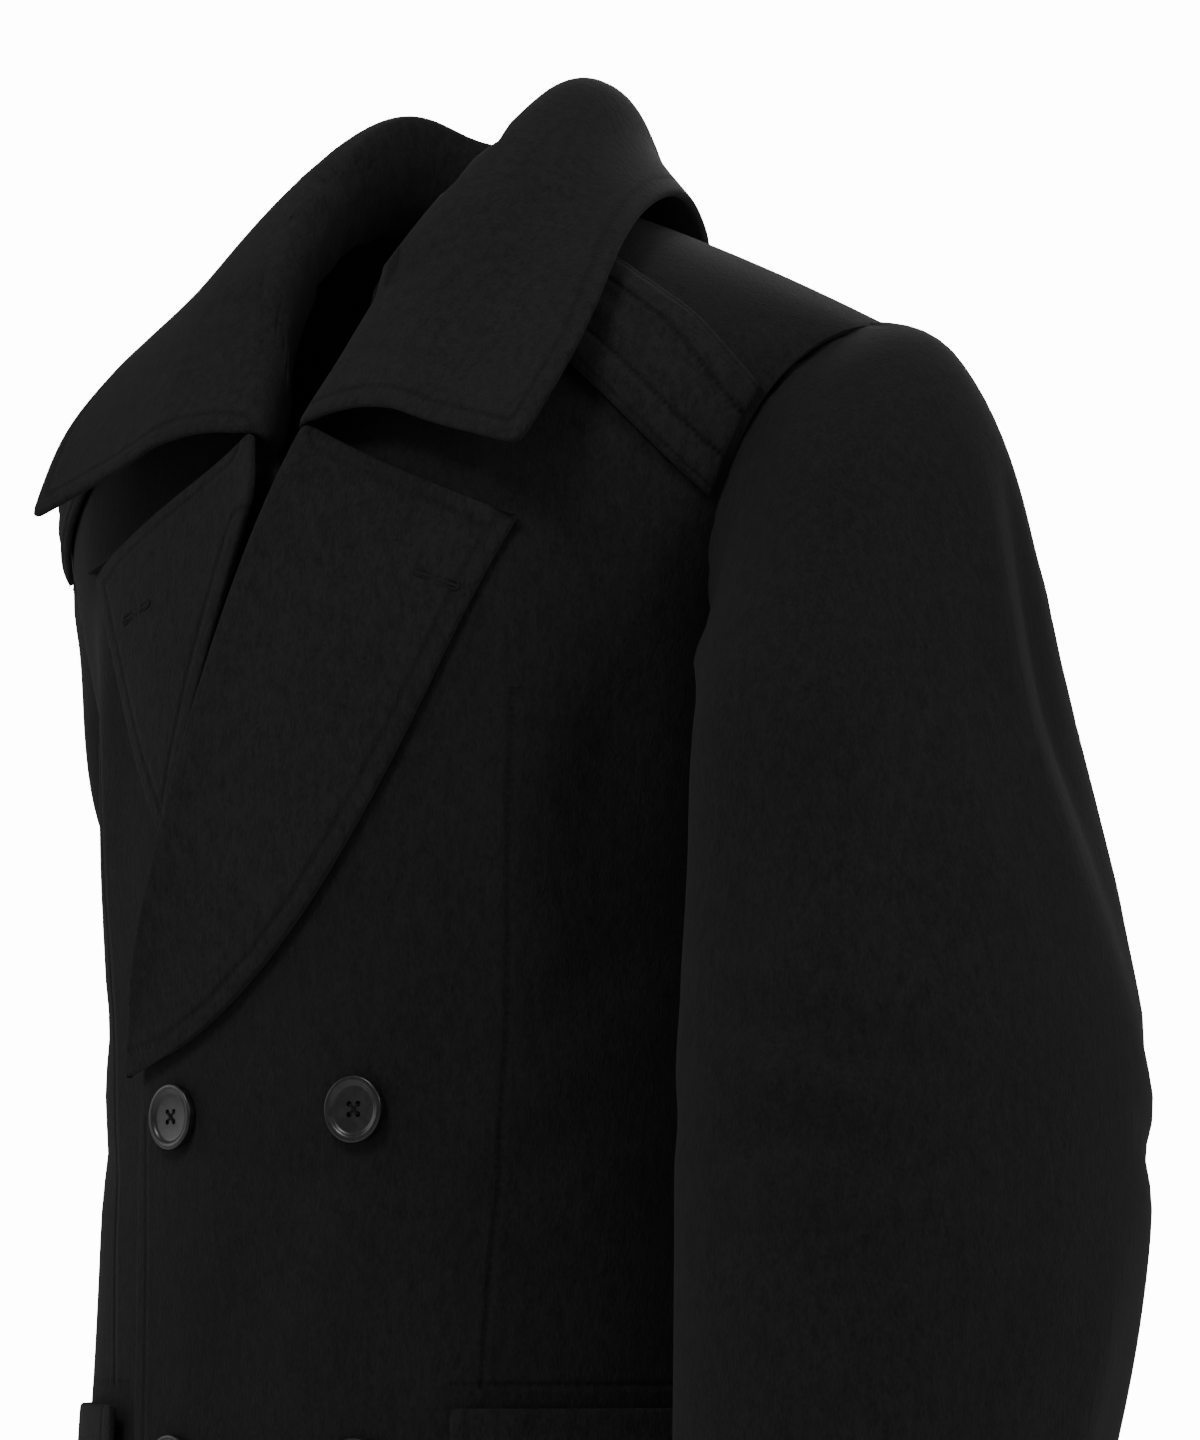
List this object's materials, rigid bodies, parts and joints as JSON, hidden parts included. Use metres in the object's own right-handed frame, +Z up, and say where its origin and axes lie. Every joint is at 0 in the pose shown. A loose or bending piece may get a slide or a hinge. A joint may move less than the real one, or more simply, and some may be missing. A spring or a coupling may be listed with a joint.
{
  "type": "pea coat",
  "caption": "Double-breasted wool pea coat worn open at the neck, with a wide collar and lapels, ribbed shoulder straps, pocket flaps and two-piece sleeves, as a hollow garment.",
  "frame": {"origin": "middle of the neck opening, level with the neck ends of the shoulder seams, where a wearer's neck and shoulders hold the coat", "axes": "+Z up along the wearer's neck, -Y to the wearer's front, +X to the wearer's left"},
  "size_m": [0.6533, 0.3989, 0.8622],
  "materials": {
    "wool": "matt fulled wool melton with a short nap",
    "horn": "satin black horn-like resin"
  },
  "bodies": {
    "root": {"front_left": "wool", "front_right": "wool", "back": "wool", "lapel_left": "wool", "lapel_right": "wool", "under_sleeve_left": "wool", "upper_sleeve_left": "wool", "under_sleeve_right": "wool", "upper_sleeve_right": "wool", "collar": "wool", "shoulder_strap_left": "wool", "shoulder_strap_right": "wool", "pocket_flap_left": "wool", "pocket_flap_right": "wool", "button_1": "horn", "button_2": "horn", "button_3": "horn", "button_4": "horn"}
  },
  "joints": []
}
